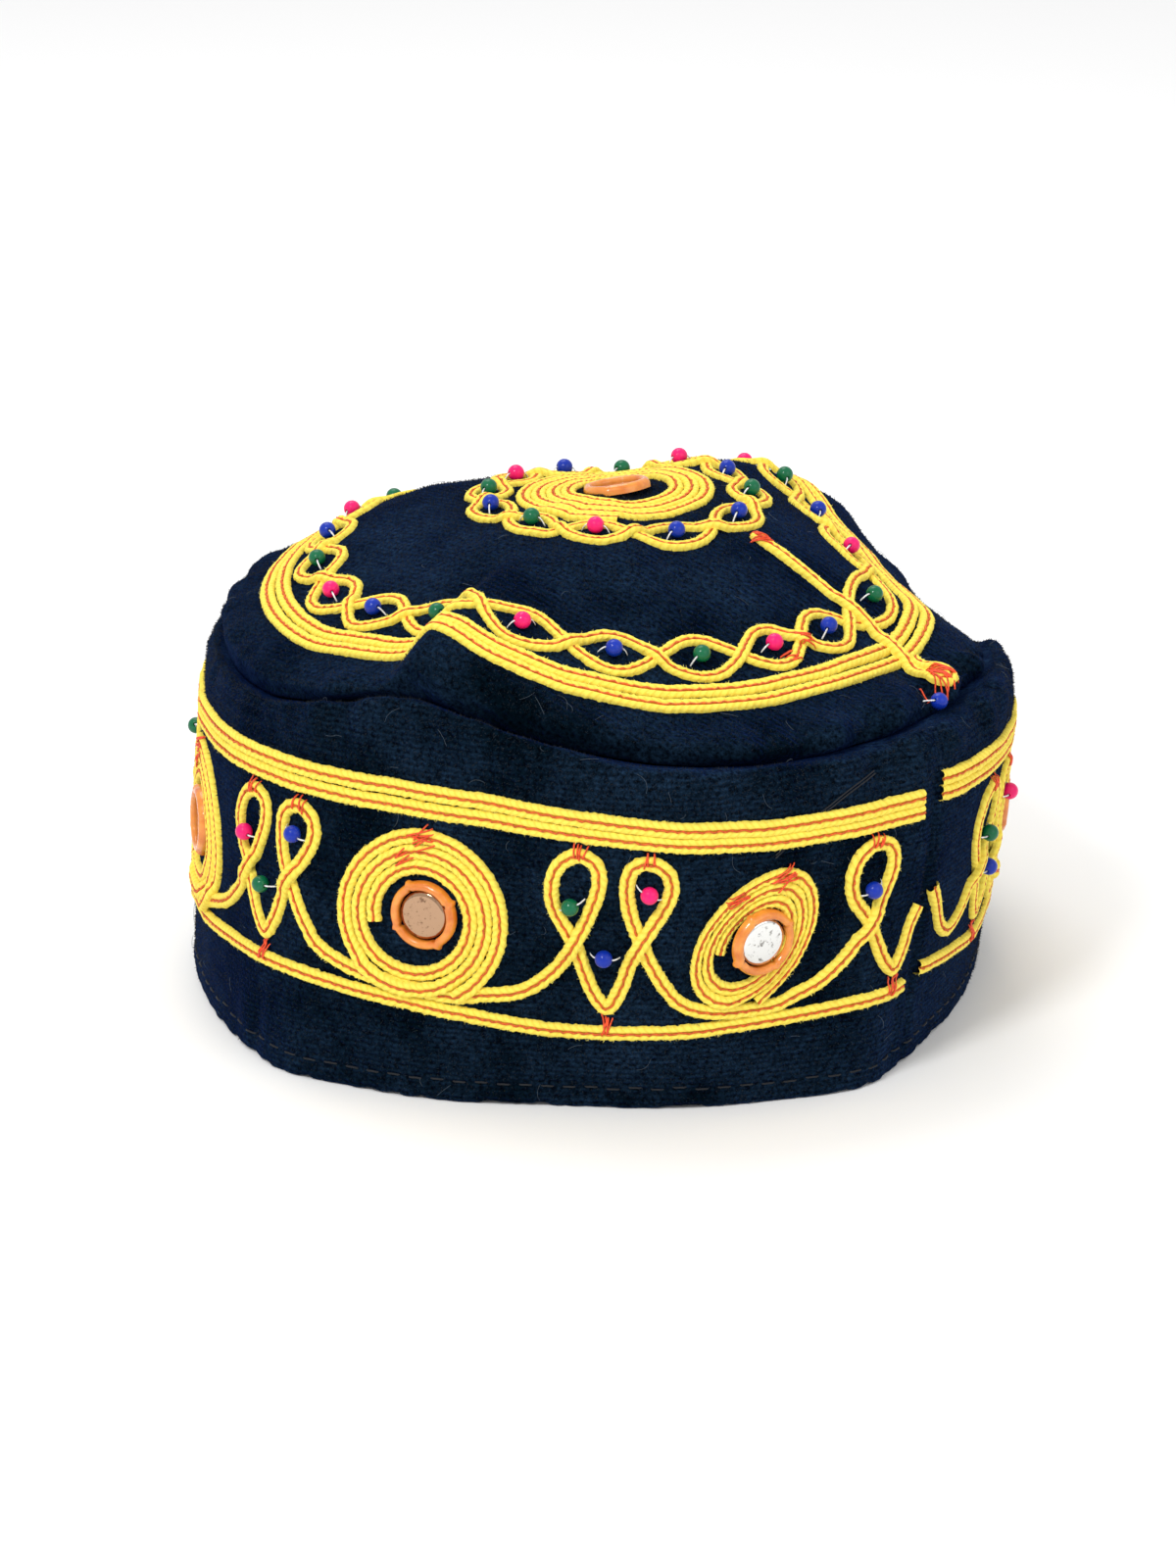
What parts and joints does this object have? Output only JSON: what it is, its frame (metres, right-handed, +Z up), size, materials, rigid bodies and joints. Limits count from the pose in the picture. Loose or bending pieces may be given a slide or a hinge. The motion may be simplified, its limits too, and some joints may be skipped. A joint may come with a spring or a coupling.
{
  "type": "tubeteika skullcap",
  "caption": "Soft round skullcap of dark velvet with couched yellow cord, small round mirrors and beads; open below for the head.",
  "frame": {"origin": "centre of the cap's outer box, on the plane that the hem rests on", "axes": "+Z up through the crown; +Y from the front, the side in the picture, to the back; +X to the viewer's right"},
  "size_m": [0.1932, 0.1983, 0.1177],
  "materials": {
    "velvet": "dark navy cotton velvet, short pile",
    "cord": "flat yellow cotton braid with a fine orange stitch line",
    "mirror": "small round mirror",
    "ring": "orange plastic ring",
    "pink_bead": "pearl gloss",
    "blue_bead": "pearl gloss",
    "green_bead": "pearl gloss"
  },
  "bodies": {
    "root": {"side_band": "velvet", "crown": "velvet", "band_border": "cord", "band_cord": "cord", "vine_cord": "cord", "roundel_1": "cord", "roundel_2": "cord", "roundel_3": "cord", "roundel_4": "cord", "roundel_5": "cord", "roundel_6": "cord", "roundel_7": "cord", "crown_border": "cord", "crown_lattice_1": "cord", "crown_lattice_2": "cord", "medallion_coil": "cord", "medallion_lattice_1": "cord", "medallion_lattice_2": "cord", "radial_cord": "cord", "mirror_1": "mirror", "mirror_2": "mirror", "mirror_3": "mirror", "mirror_4": "mirror", "mirror_5": "mirror", "mirror_6": "mirror", "mirror_7": "mirror", "mirror_8": "mirror", "mirror_ring_1": "ring", "mirror_ring_2": "ring", "mirror_ring_3": "ring", "mirror_ring_4": "ring", "mirror_ring_5": "ring", "mirror_ring_6": "ring", "mirror_ring_7": "ring", "mirror_ring_8": "ring", "bead_1": "green_bead", "bead_2": "pink_bead", "bead_3": "blue_bead", "bead_4": "green_bead", "bead_5": "blue_bead", "bead_6": "pink_bead", "bead_7": "green_bead", "bead_8": "blue_bead", "bead_9": "blue_bead", "bead_10": "green_bead", "bead_11": "pink_bead", "bead_12": "blue_bead", "bead_13": "pink_bead", "bead_14": "green_bead", "bead_15": "blue_bead", "bead_16": "pink_bead", "bead_17": "blue_bead", "bead_18": "green_bead", "bead_19": "pink_bead", "bead_20": "green_bead", "bead_21": "blue_bead", "bead_22": "pink_bead", "bead_23": "blue_bead"}
  },
  "joints": []
}
